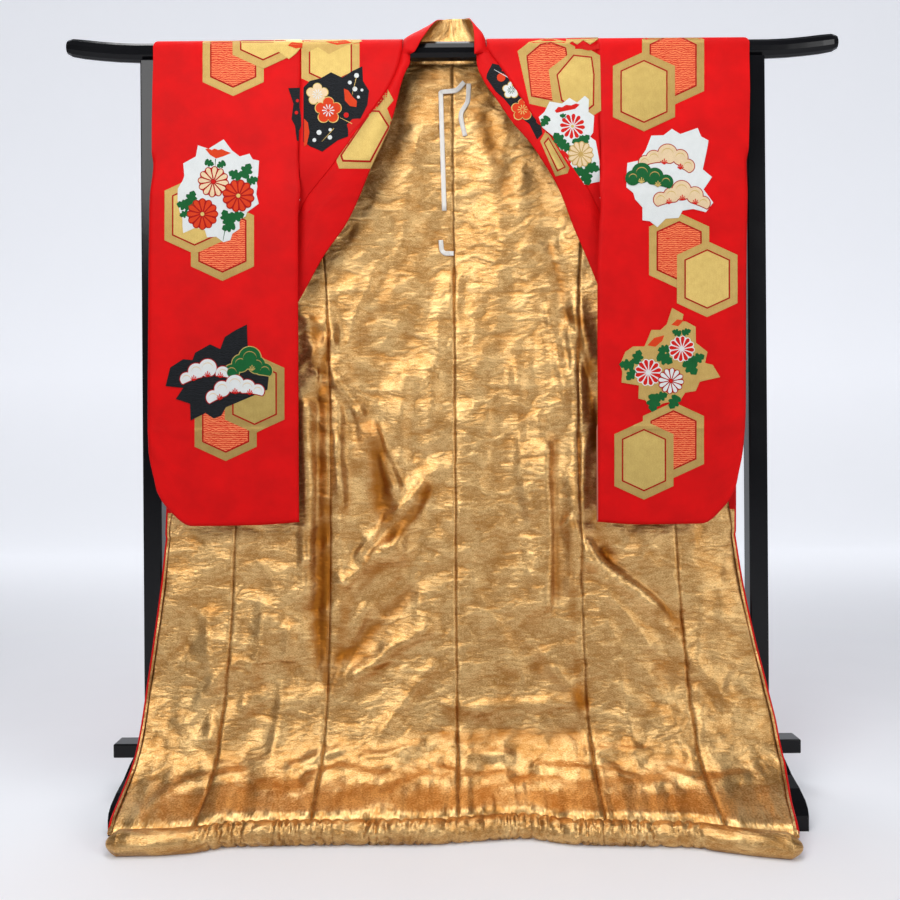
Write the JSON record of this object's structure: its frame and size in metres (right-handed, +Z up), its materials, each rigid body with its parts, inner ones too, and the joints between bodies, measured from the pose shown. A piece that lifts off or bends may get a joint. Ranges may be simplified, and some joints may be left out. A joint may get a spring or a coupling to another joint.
{
  "type": "uchikake wedding kimono on a kimono stand",
  "caption": "Full-length padded over-kimono hung open on a two-post stand: long sleeves over the beam, standing collar, fronts folded back to show the lining, gathered hem roll on the floor.",
  "frame": {"origin": "on the floor under the middle of the whole part's box", "axes": "+Z up; +X to the right of someone who faces the open front; the open front faces -Y"},
  "size_m": [1.6742, 0.5904, 1.7041],
  "materials": {
    "black_lacquer": "black gloss lacquer on wood",
    "red_brocade": "satin-ground brocade with woven motifs",
    "gold_lame": "crinkled metallic gold weave",
    "white_tape": "matt cotton tape"
  },
  "bodies": {
    "root": {"beam": "black_lacquer", "post_left": "black_lacquer", "post_right": "black_lacquer", "lower_rail": "black_lacquer", "foot_left": "black_lacquer", "foot_right": "black_lacquer", "back_left": "red_brocade", "back_right": "red_brocade", "front_left": "red_brocade", "front_right": "red_brocade", "okumi_left": "red_brocade", "okumi_right": "red_brocade", "sleeve_left": "red_brocade", "sleeve_right": "red_brocade", "collar": "red_brocade", "lining_back_left": "gold_lame", "lining_back_right": "gold_lame", "lining_front_left": "gold_lame", "lining_front_right": "gold_lame", "lining_okumi_left": "gold_lame", "lining_okumi_right": "gold_lame", "hem_roll": "gold_lame", "tape_long": "white_tape", "tape_short": "white_tape", "tape_end": "white_tape", "chest_left": "red_brocade", "chest_right": "red_brocade", "shoulder_left": "red_brocade", "shoulder_right": "red_brocade"}
  },
  "joints": []
}
